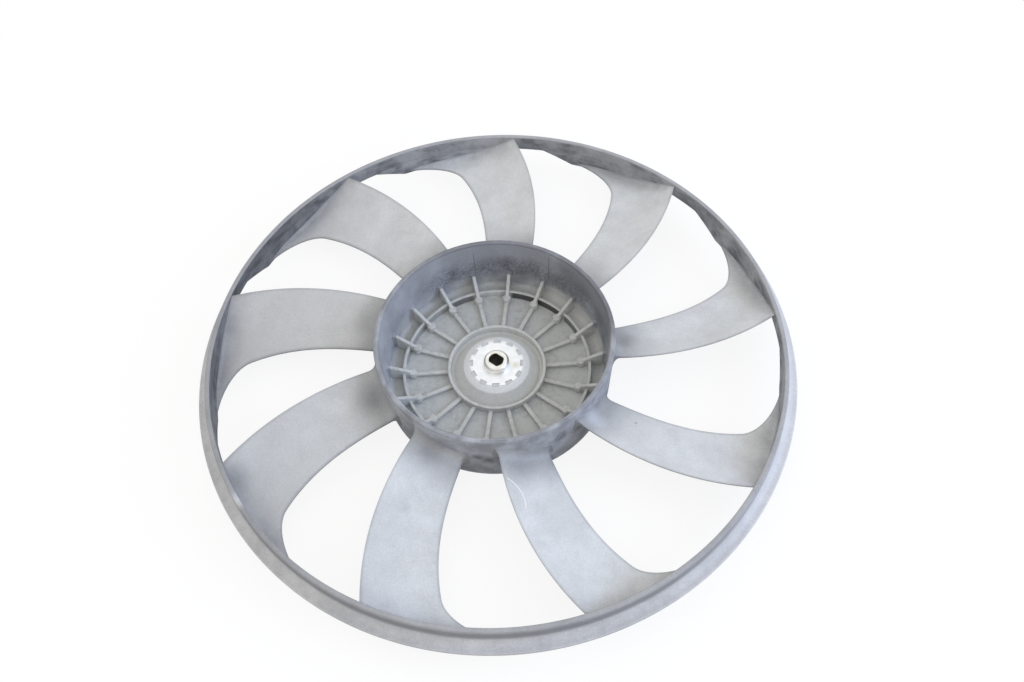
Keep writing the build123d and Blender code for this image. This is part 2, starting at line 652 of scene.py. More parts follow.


# Glass-filled polypropylene, injection moulded and long in use: to the eye it is matt and clouded, with a
# fine grain, pale dust on top and grey grime in the corners, where painted shade is laid on as well
@dataclass(frozen=True, kw_only=True)
class DustyPlastic(Finish):
    """Dusty moulded plastic, whose grain is drawn coarser than the real one so that it shows."""

    clouds: Clouds = Clouds(26.0, 0.3, 0.7)
    roughness: float = 0.5
    grain_size: float = 1.1
    grain_depth: float = 0.05
    grain_detail: float = 3.0
    grain_raggedness: float = 0.7
    grain_levels: tuple[float, float] = (0.25, 0.75)
    grain_shades: tuple[float, float] = (0.87, 1.08)
    relief: float = 0.5

    def shading(self, spot: Spot, colour: bpy.types.NodeSocket) -> dict[str, object]:
        """Adds the grain to the colour and as relief.

        Args:
            spot: where the point of the surface lies.
            colour: the stained colour.

        Returns:
            The shader's inputs.
        """
        pattern = {
            "Vector": spot.places[Place.SPACE],
            "Scale": 1 / self.grain_size,
            "Detail": self.grain_detail,
            "Roughness": self.grain_raggedness,
        }
        grain = add_node(spot.tree, "ShaderNodeTexNoise", "Fac", pattern)
        levels = {
            "Value": grain,
            "From Min": self.grain_levels[0],
            "From Max": self.grain_levels[1],
            "To Min": self.grain_shades[0],
            "To Max": self.grain_shades[1],
        }
        shade = add_node(spot.tree, "ShaderNodeMapRange", "Result", levels)
        shaded = {0: colour, "Scale": shade}
        colour = add_node(spot.tree, "ShaderNodeVectorMath", 0, shaded, operation="SCALE")
        bumps = {"Height": grain, "Strength": self.relief, "Distance": self.grain_depth * MM}
        normal = add_node(spot.tree, "ShaderNodeBump", "Normal", bumps)
        return {**super().shading(spot, colour), "Normal": normal}


@dataclass(frozen=True, kw_only=True)
class BladePlastic(DustyPlastic):
    """Blade finish: grime at roots and tips with painted shade in their joints, painted shade on the left
    blades, a painted highlight, thin dark edges and a few marks.
    """

    # Grime, and painted shade in the creases at the blades' roots and tips
    grime_and_shade: str = "#66676c"
    smudge: str = "#76787d"
    # Warm grey painted shade for the blades on the left, away from the lamp
    left_shade: str = "#acaba8"
    # Pale bluish colour of a painted highlight on the blades
    rubbed_and_sheen: str = "#d8dfe8"
    scratch: str = "#f4f7fa"
    scratch_radius: float = 20.4
    scratch_width: float = 0.35

    def stains(self) -> list[Stain]:
        """Lists grime and painted shade along the blade's own span and chord, and painted shade, a painted
        highlight and single marks by their place.

        Returns:
            The stains, the lowest first.
        """
        wide = Clouds(85, 0.25, 0.72)
        small = Clouds(9, 0.35, 0.7)
        streaks = Clouds(20, 0.3, 0.65)
        left = Zone(Measure.ACROSS, -400, -95, 70)
        root = Zone(Measure.SPAN, -1, 0.1, 0.2)
        root_joint = Zone(Measure.SPAN, -1, 0.03, 0.03)
        tip = Zone(Measure.SPAN, 0.93, 2, 0.09)
        outer_end = Zone(Measure.SPAN, 0.9, 2, 0.1)
        tip_joint = Zone(Measure.SPAN, 0.985, 2, 0.015)
        upper_edge = Zone(Measure.CHORD, -1, 0.02, 0.03)
        lower_edge = Zone(Measure.CHORD, 0.975, 2, 0.03)
        line_start = self.scratch_radius - self.scratch_width
        line_end = self.scratch_radius + self.scratch_width
        line = Away((-10.7, -111.5, 0.0), line_start, line_end, 0.3, Place.FLAT)
        line_turn = Zone(Measure.AZIMUTH, -89.8, -84.2, 0.4)
        line_reach = Zone(Measure.RADIUS, 93.5, 114, 1.0)
        return [
            (self.smudge, 0.08, small),
            # Painted shade: the blades on the left, away from the lamp, are made darker
            (self.left_shade, 0.5, left),
            (self.grime_and_shade, 0.46, root),
            (self.grime_and_shade, 0.6, root, wide),
            # Partly grime and partly painted shade in the crease where the blades meet the hub
            (self.grime_and_shade, 0.45, root_joint, streaks),
            (self.smudge, 0.42, tip, streaks),
            (self.smudge, 0.25, outer_end, left, wide),
            # Partly grime and partly painted shade in the crease where the blades meet the ring
            (self.grime_and_shade, 0.55, tip_joint),
            (self.grime_and_shade, 0.35, dab((85.5, 0.7, 25.5), 13)),
            (self.grime_and_shade, 0.3, dab((8.0, -87.0, 29.4), 16)),
            (self.grime_and_shade, 0.3, dab((-45.8, -71.3, 27.7), 12)),
            (self.grime_and_shade, 0.55, dab((-80.0, -27.0, 27.0), 17)),
            (self.grime_and_shade, 0.25, dab((-83.0, 33.0, 27.6), 15)),
            (self.grime_and_shade, 0.4, dab((-164.6, -74.7, 27.6), 14)),
            # Painted highlight: a pale bluish sheen on a near blade, next to the hub
            (self.rubbed_and_sheen, 0.75, dab((60.0, -58.5, 33.0), 11)),
            (self.grime_and_shade, 0.35, upper_edge),
            (self.grime_and_shade, 0.35, lower_edge),
            (self.scratch, 0.7, line, line_turn, line_reach),
            (self.grime_and_shade, 0.6, dab((83.7, -59.7, 0.0), 1.3, Place.FLAT)),
            (self.smudge, 0.2, dab((-62.0, -104.0, 0.0), 8, Place.FLAT), small),
        ]


@dataclass(frozen=True, kw_only=True)
class RingPlastic(DustyPlastic):
    """Ring finish: grime on the walls, painted shade on the outer wall under the rim, painted light on the
    right of the flange, streaks where the blade tips run out and one rubbed patch.
    """

    # Grime, and painted shade on the outer wall under the rim
    grime_and_shade: str = "#606268"
    soot: str = "#3c3d42"
    rubbed_and_sheen: str = "#d6d9dc"
    # Painted light for the flange's right side, towards the lamp
    flange_light: str = "#e4e5e6"

    def stains(self) -> list[Stain]:
        """Lists grime, painted shade and painted light by radius, height and side.

        Returns:
            The stains, the lowest first.
        """
        small = Clouds(6, 0.35, 0.65)
        streaks = Clouds(24, 0.35, 0.65)
        lines = Clouds(4.5, 0.42, 0.62, Place.UNROLLED)
        left = Zone(Measure.ACROSS, -400, -105, 40)
        right = Zone(Measure.ACROSS, 130, 400, 60)
        flange = Zone(Measure.RADIUS, 187.4, 200, 0.4)
        outside = Zone(Measure.RADIUS, 186.6, 190, 0.5)
        inside = Zone(Measure.RADIUS, 150, 186, 0.4)
        rim = Zone(Measure.HEIGHT, 34.4, 60, 0.5)
        shaded_under_rim = Zone(Measure.HEIGHT, 26, 34, 2)
        below_rim = Zone(Measure.HEIGHT, -10, 34.6, 0.5)
        foot = Zone(Measure.HEIGHT, -10, 18.4, 0.5)
        return [
            (self.grime_and_shade, 0.12, small),
            # Painted shade: the vertical outer wall just under the rim, lit less from above, is darkened
            (self.grime_and_shade, 0.68, outside, shaded_under_rim),
            (self.grime_and_shade, 0.36, rim),
            (self.grime_and_shade, 0.35, inside, below_rim),
            (self.grime_and_shade, 0.5, inside, below_rim, streaks),
            (self.soot, 0.6, inside, below_rim, lines, streaks),
            # Painted light: the right side of the flange, towards the lamp, is made paler
            (self.flange_light, 0.5, right, flange),
            (self.soot, 0.5, inside, below_rim, left),
            (self.grime_and_shade, 0.2, rim, left),
            (self.grime_and_shade, 0.4, foot, streaks),
            (self.rubbed_and_sheen, 0.7, dab((-160.7, -93.2, 35.5), 9)),
        ]


@dataclass(frozen=True, kw_only=True)
class HubPlastic(DustyPlastic):
    """Hub finish: dark dusty walls with painted shade on the upper right inside, a paler ribbed floor and
    an almost white boss.
    """

    clouds: Clouds = Clouds(14.0, 0.3, 0.7)
    wall: str = "#adb1b9"
    dust: str = "#d3d4d0"
    floor: str = "#c2c5c2"
    boss: str = "#eceeed"
    # Grime, and painted shade in the notches and on the right inner wall
    grime_and_shade: str = "#55565b"
    black: str = "#2c2c2f"

    def floor_stains(self) -> list[Stain]:
        """Lists what lies on the floor: dust, dark stretches at the foot of the band's inside, the pale
        boss and painted shade in the plate's notches.

        Returns:
            The stains, the lowest first.
        """
        inner = Zone(Measure.RADIUS, 0, 70.6, 0.8)
        raised = Zone(Measure.HEIGHT, 5.6, 60, 0.4)
        band_inside = Zone(Measure.RADIUS, 60.4, 61.7, 0.25)
        under_band = Zone(Measure.HEIGHT, 3, 8.4, 0.4)
        cone = Zone(Measure.RADIUS, 22, 31, 0.8)
        gutter = Zone(Measure.RADIUS, 63.4, 73, 0.6)
        drift = Zone(Measure.AZIMUTH, 8, 60, 8)
        heap = Zone(Measure.HEIGHT, -5, 12, 3)
        boss_top = Zone(Measure.RADIUS, 0, 22.2, 0.7)
        boss_height = Zone(Measure.HEIGHT, 9.6, 60, 0.8)
        shaded_notches = Zone(Measure.RADIUS, 10, 17.8, 0.2)
        stains = [
            (self.dust, 0.75, inner, raised),
            (self.grime_and_shade, 0.22, inner, Clouds(3.5, 0.4, 0.62), Clouds(12, 0.35, 0.65)),
        ]
        # Four stretches of the band's inner face are darkened at its foot
        for first, last, share in ((40, 76, 0.9), (22, 36, 0.7), (101, 116, 0.7), (116, 170, 0.35)):
            dark_stretch = Zone(Measure.AZIMUTH, first, last, 1.5)
            stains.append((self.black, share, band_inside, under_band, dark_stretch))
        stains += [
            (self.dust, 0.7, cone),
            (self.dust, 0.75, gutter, drift, heap),
            (self.boss, 0.92, boss_top, boss_height),
            # Painted shade: the boss plastic in the recessed notches between the plate's teeth is darkened
            (self.grime_and_shade, 0.28, shaded_notches),
        ]
        return stains

    def stains(self) -> list[Stain]:
        """Lists the shades of walls and floor, and then what lies on them.

        Returns:
            The stains, the lowest first.
        """
        small = Clouds(3.5, 0.4, 0.62)
        middle = Clouds(12, 0.35, 0.65)
        wide = Clouds(45, 0.35, 0.65)
        specks = Clouds(1.6, 0.42, 0.6)
        blots = Clouds(16, 0.36, 0.62)
        inner = Zone(Measure.RADIUS, 0, 70.6, 0.8)
        inside = Zone(Measure.RADIUS, 70.6, 75.2, 0.6)
        outside = Zone(Measure.RADIUS, 75.3, 90, 0.3)
        above_floor = Zone(Measure.HEIGHT, 5, 60, 2)
        low = Zone(Measure.HEIGHT, -5, 14, 6)
        sooty = Zone(Measure.HEIGHT, 14, 30, 7)
        upper = Zone(Measure.HEIGHT, 27, 60, 5)
        rim = Zone(Measure.HEIGHT, 45.6, 60, 0.3)
        far = Zone(Measure.AZIMUTH, 8, 125, 14)
        right = Zone(Measure.AZIMUTH, -6, 44, 8)
        stains = [
            (self.floor, 0.8, inner),
            (self.wall, 0.85, inside, above_floor),
            (self.grime_and_shade, 0.4, inside, above_floor, wide),
            (self.dust, 0.6, inside, low, middle),
            (self.wall, 0.7, outside),
            (self.grime_and_shade, 0.45, outside, middle),
            (self.grime_and_shade, 0.5, inside, far, sooty, blots),
            (self.grime_and_shade, 0.55, inside, far, sooty, specks),
            (self.grime_and_shade, 0.35, rim, wide),
            (self.grime_and_shade, 0.3, rim, far),
            # Partly grime and partly painted shade: the upper right inner wall, turned away from the lamp,
            # is darkened
            (self.grime_and_shade, 0.6, inside, right, upper),
            (self.grime_and_shade, 0.45, rim, right),
            *self.floor_stains(),
        ]
        for azimuth, bottom, top in ((97.1, 18, 38), (55.8, 22, 43)):
            line = Zone(Measure.AZIMUTH, azimuth - 0.25, azimuth + 0.25, 0.15)
            stains.append((self.grime_and_shade, 0.6, inside, line, Zone(Measure.HEIGHT, bottom, top, 2)))
        blotches = (
            dab((51.6, 52.4, 36.4), 13),
            dab((62.9, 38.0, 31.5), 14),
            dab((70.2, 20.5, 26.0), 12),
            dab((72.6, 6.4, 19.0), 10),
            dab((29.1, 67.2, 27.2), 11),
            dab((14.2, 71.8, 27.8), 10),
            dab((-23.3, 69.2, 21.9), 9),
        )
        for blotch in blotches:
            stains.append((self.grime_and_shade, 0.28, blotch, inside))
            stains.append((self.grime_and_shade, 0.4, blotch, inside, specks))
        smears = (
            dab((37.0, -68.0, 31.0), 9),
            dab((48.4, -59.3, 25.0), 9),
            dab((56.5, -49.5, 43.0), 6),
            dab((-16.5, -74.8, 26.0), 5),
            dab((-9.5, -75.8, 21.5), 6),
            dab((-3.0, -76.5, 28.0), 5),
        )
        for smear in smears:
            stains.append((self.grime_and_shade, 0.5, smear))
            stains.append((self.grime_and_shade, 0.7, smear, small))
        return stains


# Zinc-plated steel, stamped or turned and then plated: to the eye it shines softly, with a stain where
# grease has crept over it, which on the bush also holds painted shade, and with painted shade in its bore
@dataclass(frozen=True, kw_only=True)
class PlatedSteel(Finish):
    """Plated steel with one stain and painted shade in the bore."""

    clouds: Clouds = Clouds(4.0, 0.35, 0.65)
    stain: str
    stain_share: float
    stained_at: Away
    # Painted shade for the bore's wall
    bore_shade: str = "#a09c96"
    bore: Zone = Zone(Measure.RADIUS, -1, 5.3, 0.12)
    below_mouth: Zone = Zone(Measure.HEIGHT, -1, 16.3, 0.2)

    def stains(self) -> list[Stain]:
        """Lists the stain and the painted shade in the bore."""
        # Painted shade darkens the bore below its mouth
        shaded_bore = (self.bore_shade, 1.0, self.bore, self.below_mouth)
        return [(self.stain, self.stain_share, self.stained_at), shaded_bore]

    def shading(self, spot: Spot, colour: bpy.types.NodeSocket) -> dict[str, object]:
        """Gives the shader's inputs for bare metal of a colour at a spot."""
        return {**super().shading(spot, colour), "Metallic": 1.0}


# Pieces


@dataclass
class Ring:
    """Ring round the blade tips, with its flange and the deeper heels at the blades' lower corners."""

    outer_radius: float = 195.0
    flange_width: float = 7.0
    wall: float = 3.0
    lean: float = 0.7
    rim_z: float = 35.5
    height: float = 17.3
    bend_round: float = 5.5
    edge_round: float = 0.8
    heel_count: int = 9
    heel_angle: float = 98.0
    heel_bottom_z: float = 12.6
    heel_lead_in: float = 5.0
    heel_before: float = 5.0
    heel_after: float = 9.4
    heel_run_out: float = 7.5
    steps: int = 360

    @property
    def wall_outer(self) -> float:
        """Radius of the wall's outside at the flange."""
        return self.outer_radius - self.flange_width

    @property
    def wall_inner(self) -> float:
        """Radius of the wall's inside at the flange."""
        return self.wall_outer - self.wall

    @property
    def bottom_z(self) -> float:
        """Height of the flange's underside."""
        return self.rim_z - self.height

    def band(self) -> bpy.types.Object:
        """Spins the ring's section.

        Returns:
            The closed band.
        """
        flange_top = self.bottom_z + self.wall
        return turned(
            "ring_band",
            [
                (self.wall_inner - self.lean, self.rim_z, self.edge_round),
                (self.wall_outer - self.lean, self.rim_z, self.edge_round),
                (self.wall_outer, flange_top, self.bend_round),
                (self.outer_radius, flange_top, self.edge_round),
                (self.outer_radius, self.bottom_z, self.edge_round),
                (self.wall_inner, self.bottom_z, self.bend_round + self.wall),
            ],
            self.steps,
        )

    def heel(self) -> bpy.types.Object:
        """Spins a stretch of wall and cuts its two ramps.

        Returns:
            One heel, with its flat part about the X axis.
        """
        top_z = self.bottom_z + self.wall + self.bend_round / 2
        corners = [
            (self.wall_inner, top_z, 0),
            (self.wall_outer, top_z, 0),
            (self.wall_outer, self.heel_bottom_z, 0),
            (self.wall_inner, self.heel_bottom_z, 0),
        ]
        start = -self.heel_before - self.heel_lead_in
        end = self.heel_after + self.heel_run_out
        piece = drawn_outline("ring_heel", rounded_path(corners))
        bpy.ops.mesh.spin(
            steps=round(end - start), angle=math.radians(start - end), center=(0, 0, 0), axis=(0, 0, 1)
        )
        bpy.ops.object.mode_set(mode="OBJECT")
        piece.data.transform(Matrix.Rotation(math.radians(start), 4, "Z"))
        pick(piece)
        bpy.ops.object.mode_set(mode="EDIT")
        for flat_end, ramp_end in ((-self.heel_before, start), (self.heel_after, end)):
            foot_y = self.wall_outer * math.sin(math.radians(flat_end))
            head_y = self.wall_outer * math.sin(math.radians(ramp_end))
            run = Vector((0, head_y - foot_y, top_z - self.heel_bottom_z))
            side = math.copysign(1, flat_end)
            bpy.ops.mesh.select_all(action="SELECT")
            bpy.ops.mesh.bisect(
                plane_co=Vector((0, foot_y, self.heel_bottom_z)) * MM,
                plane_no=run.cross(Vector((side, 0, 0))).normalized(),
                use_fill=True,
                clear_outer=True,
            )
        closed(piece)
        eased(piece, self.edge_round)
        return piece

    def build(self, finish: bpy.types.Material) -> bpy.types.Object:
        """Builds and dresses the ring.

        Args:
            finish: the ring's material.

        Returns:
            The finished piece.
        """
        piece = joined("wheel_ring", [self.band(), *spread(self.heel(), self.heel_count, self.heel_angle)])
        smoothed(piece)
        return dressed(piece, finish, Node.WHEEL)


@dataclass
class Blades:
    """Nine swept blades between the hub and the ring, with rounded roots and a flare along the ring."""

    count: int = 9
    seat: float = 0.9
    hub_front_radius: float = 75.6
    hub_taper: float = 1.9 / 46.8
    ring_inner: float = 185.0
    ring_outer: float = 188.0
    upper_angle: float = 67.0
    upper_sweep: float = 10.6
    upper_curl: float = 3.9
    lower_angle: float = 90.5
    lower_sweep: float = -6.0
    lower_curl: float = 13.5
    upper_z: float = 33.9
    lower_z: float = 19.3
    lower_fall: float = 1.0
    lower_dip: float = 4.0
    root_camber: float = 0.4
    tip_camber: float = 1.0
    root_thickness: float = 3.2
    tip_thickness: float = 2.4
    edge_thickness: float = 1.2
    flare_length: float = 53.0
    flare_depth: float = 23.0
    root_round_top: float = 7.0
    root_round_under: float = 4.0
    root_round_edge: float = 4.0
    tip_round: float = 2.2
    edge_ease: float = 0.5
    span_cells: int = 64
    chord_cells: int = 20
    crowding: float = 0.93

    @property
    def root_radius(self) -> float:
        """Radius of the hub's outside at the blades' lower edge."""
        return self.hub_front_radius + self.hub_taper * self.lower_z

    @staticmethod
    def fillet(distance: float, rounding: float) -> float:
        """Rise of a quarter round at a distance from the wall that it runs into."""
        reach = rounding - min(max(distance, 0), rounding)
        return rounding - math.sqrt(rounding**2 - reach**2)

    def point(self, radius: float, chord: float, side: int) -> Vector:
        """Finds a point of a blade's surface.

        Args:
            radius: distance from the shaft axis, in millimetres.
            chord: share of the way from the upper edge to the lower edge.
            side: 1 on the upper surface, -1 on the lower one.

        Returns:
            The point, in metres.
        """
        span = (radius - self.root_radius) / (self.ring_inner - self.root_radius)
        upper = math.radians(self.upper_angle + self.upper_sweep * span + self.upper_curl * span**2)
        lower = math.radians(self.lower_angle + self.lower_sweep * span + self.lower_curl * span**2)
        flare_share = max(0, 1 - (self.ring_outer - radius) / self.flare_depth)
        flare = self.flare_length * (1 - math.sqrt(max(0, 1 - flare_share**2))) / radius
        angle = upper + chord * (lower + flare - upper)
        rest = max(0, (lower - angle) / (lower - upper))
        camber = self.root_camber + (self.tip_camber - self.root_camber) * span
        low_z = self.lower_z - self.lower_fall * span - self.lower_dip * span**2
        z = low_z + (self.upper_z - low_z) * ((1 - camber) * rest + camber * rest**2)
        full = self.root_thickness + (self.tip_thickness - self.root_thickness) * span
        thickness = self.edge_thickness + (full - self.edge_thickness) * (1 - (2 * chord - 1) ** 4)
        from_hub = radius - self.hub_front_radius - self.hub_taper * z
        from_ring = self.ring_inner - radius
        root_round = self.root_round_top if side > 0 else self.root_round_under
        z += side * (thickness / 2 + self.fillet(from_hub, root_round))
        if side > 0:
            z += self.fillet(from_ring, self.tip_round) * math.sin(math.pi * chord)
        angle += (2 * chord - 1) * self.fillet(from_hub, self.root_round_edge) / radius
        return Vector((radius * math.cos(angle), radius * math.sin(angle), z)) * MM

    def blade(self) -> bpy.types.Object:
        """Shapes one blade from a grid with thickness, and keeps its span and chord shares on its points.

        Returns:
            The closed blade.
        """
        deselect()
        bpy.ops.mesh.primitive_grid_add(
            x_subdivisions=self.span_cells, y_subdivisions=self.chord_cells, size=1, location=(0.5, 0.5, 0)
        )
        piece = named("blade")
        bpy.ops.object.transform_apply(location=True, rotation=False, scale=False)
        bpy.ops.object.mode_set(mode="EDIT")
        bpy.ops.mesh.select_all(action="SELECT")
        bpy.ops.mesh.extrude_region_move(TRANSFORM_OT_translate={"value": (0, 0, 1)})
        closed(piece)
        mesh = piece.data
        start = self.root_radius - self.seat
        reach = self.ring_inner + self.seat - start
        shares = {name: mesh.attributes.new(name, "FLOAT", "POINT").data for name in ("span", "chord")}
        for vertex in mesh.vertices:
            along, chord, level = vertex.co
            even = along - self.crowding * math.sin(math.tau * along) / math.tau
            shares["span"][vertex.index].value = even
            shares["chord"][vertex.index].value = chord
            vertex.co = self.point(start + reach * even, chord, 1 if level > 0.5 else -1)
        pick(piece)
        bpy.ops.object.mode_set(mode="EDIT")
        closed(piece)
        eased(piece, self.edge_ease, segments=3, sharper_than=60)
        return piece

    def build(self, finish: bpy.types.Material) -> bpy.types.Object:
        """Builds and dresses the blades.

        Args:
            finish: the blades' material.

        Returns:
            The finished piece.
        """
        piece = joined("wheel_blades", spread(self.blade(), self.count, 0))
        smoothed(piece, 50)
        return dressed(piece, finish, Node.WHEEL)


@dataclass
class Hub:
    """Cup-shaped hub with a ribbed floor and a centre boss that holds the plate and the bush."""

    height: float = 46.8
    rim_radius: float = 77.5
    front_radius: float = 75.6
    wall: float = 3.4
    floor: float = 3.4
    floor_round: float = 4.0
    front_round: float = 1.5
    rim_round: float = 0.9
    foot_round: float = 0.8
    wide_foot_round: float = 1.0
    rib_count: int = 18
    rib_angle: float = 18.5
    rib_width: float = 2.8
    rib_top_z: float = 6.4
    collar_radius: float = 33.0
    collar_wall: float = 2.0
    collar_top_z: float = 9.3
    collar_round: float = 0.6
    band_radius: float = 63.2
    band_wall: float = 2.0
    band_top_z: float = 9.0
    band_round: float = 0.5
    post_circle: float = 56.5
    post_radius: float = 2.75
    post_sides: int = 32
    fin_width: float = 2.4
    fin_top_z: float = 18.2
    pad_width: float = 4.6
    pad_depth: float = 1.0
    pad_ease: float = 0.35
    spoke_ease: float = 0.5
    spoke_ease_segments: int = 3
    boss_top_z: float = 12.6
    boss_top_radius: float = 18.6
    boss_shoulder_radius: float = 22.0
    boss_shoulder_z: float = 10.5
    boss_base_radius: float = 28.8
    boss_top_round: float = 0.6
    boss_shoulder_round: float = 1.2
    plate_tip: float = 17.9
    plate_root: float = 15.8
    plate_bottom_z: float = 11.0
    plate_gap: float = 0.05
    seat_round: float = 0.15
    filler_foot: float = 1.0
    filler_ease: float = 0.2
    notch_count: int = 12
    notch_angle: float = 24.0
    notch_width: float = 4.8
    bush_radius: float = 8.5
    steps: int = 288

    @property
    def taper(self) -> float:
        """Growth of the cup's radius with height."""
        return (self.rim_radius - self.front_radius) / self.height

    def inner_radius(self, height: float) -> float:
        """Radius of the cup's inside at a height."""
        return self.front_radius + self.taper * height - self.wall

    def cup(self) -> bpy.types.Object:
        """Spins the hub's section: the cup, its floor with band and collar, and the boss.

        Returns:
            The closed cup.
        """
        seat = self.plate_tip + self.plate_gap
        band_inner = self.band_radius - self.band_wall
        collar_inner = self.collar_radius - self.collar_wall
        return turned(
            "hub_cup",
            [
                (self.bush_radius, 0, 0),
                (self.front_radius, 0, self.front_round),
                (self.rim_radius, self.height, self.rim_round),
                (self.rim_radius - self.wall, self.height, self.rim_round),
                (self.inner_radius(self.floor), self.floor, self.floor_round),
                (self.band_radius, self.floor, self.foot_round),
                (self.band_radius, self.band_top_z, self.band_round),
                (band_inner, self.band_top_z, self.band_round),
                (band_inner, self.floor, self.foot_round),
                (self.collar_radius, self.floor, self.wide_foot_round),
                (self.collar_radius, self.collar_top_z, self.collar_round),
                (collar_inner, self.collar_top_z, self.collar_round),
                (collar_inner, self.floor, self.foot_round),
                (self.boss_base_radius, self.floor, self.wide_foot_round),
                (self.boss_shoulder_radius, self.boss_shoulder_z, self.boss_shoulder_round),
                (self.boss_top_radius, self.boss_top_z, self.boss_top_round),
                (seat, self.boss_top_z, self.seat_round),
                (seat, self.plate_bottom_z, 0),
                (self.bush_radius, self.plate_bottom_z, 0),
            ],
            self.steps,
        )

    def spoke(self) -> bpy.types.Object:
        """Builds one rib with its post, its fin up the wall and the fin's pad.

        Returns:
            The joined spoke along the X axis.
        """
        half_rib = self.rib_width / 2
        rib_start = self.collar_radius - self.collar_wall / 2
        foot = self.floor / 2
        rib = block("rib", (rib_start, -half_rib, foot), (self.post_circle, half_rib, self.rib_top_z))
        post = upright("post", self.post_radius, foot, self.band_top_z, self.post_sides)
        post.data.transform(Matrix.Translation((self.post_circle * MM, 0, 0)))
        wall_radius = self.inner_radius(self.fin_top_z)
        behind = wall_radius + self.wall / 2
        side = [
            (self.post_circle, foot, 0),
            (behind - self.taper * self.fin_top_z, foot, 0),
            (behind, self.fin_top_z, 0),
            (wall_radius, self.fin_top_z, 0),
            (self.post_circle, self.band_top_z, 0),
        ]
        fin = slab("fin", rounded_path(side), self.fin_width * MM)
        for piece in (rib, post, fin):
            eased(piece, self.spoke_ease, segments=self.spoke_ease_segments)
        half_pad = self.pad_width / 2
        pad_face = wall_radius - self.pad_depth
        pad = block("pad", (pad_face, -half_pad, foot), (behind, half_pad, self.fin_top_z))
        eased(pad, self.pad_ease)
        return joined("spoke", [rib, post, fin, pad])

    def notch_filler(self) -> bpy.types.Object:
        """Builds the boss plastic that fills one notch between the plate's teeth.

        Returns:
            The filler on the X axis.
        """
        half = self.notch_width / 2 - self.plate_gap
        filler = block(
            "notch_filler",
            (self.plate_root + self.plate_gap, -half, self.plate_bottom_z - self.filler_foot),
            (self.boss_top_radius, half, self.boss_top_z),
        )
        eased(filler, self.filler_ease)
        return filler

    def build(self, finish: bpy.types.Material) -> bpy.types.Object:
        """Builds and dresses the hub.

        Args:
            finish: the hub's material.

        Returns:
            The finished piece.
        """
        spokes = spread(self.spoke(), self.rib_count, self.rib_angle)
        fillers = spread(self.notch_filler(), self.notch_count, self.notch_angle)
        piece = joined("wheel_hub", [self.cup(), *spokes, *fillers])
        smoothed(piece)
        return dressed(piece, finish, Node.WHEEL)


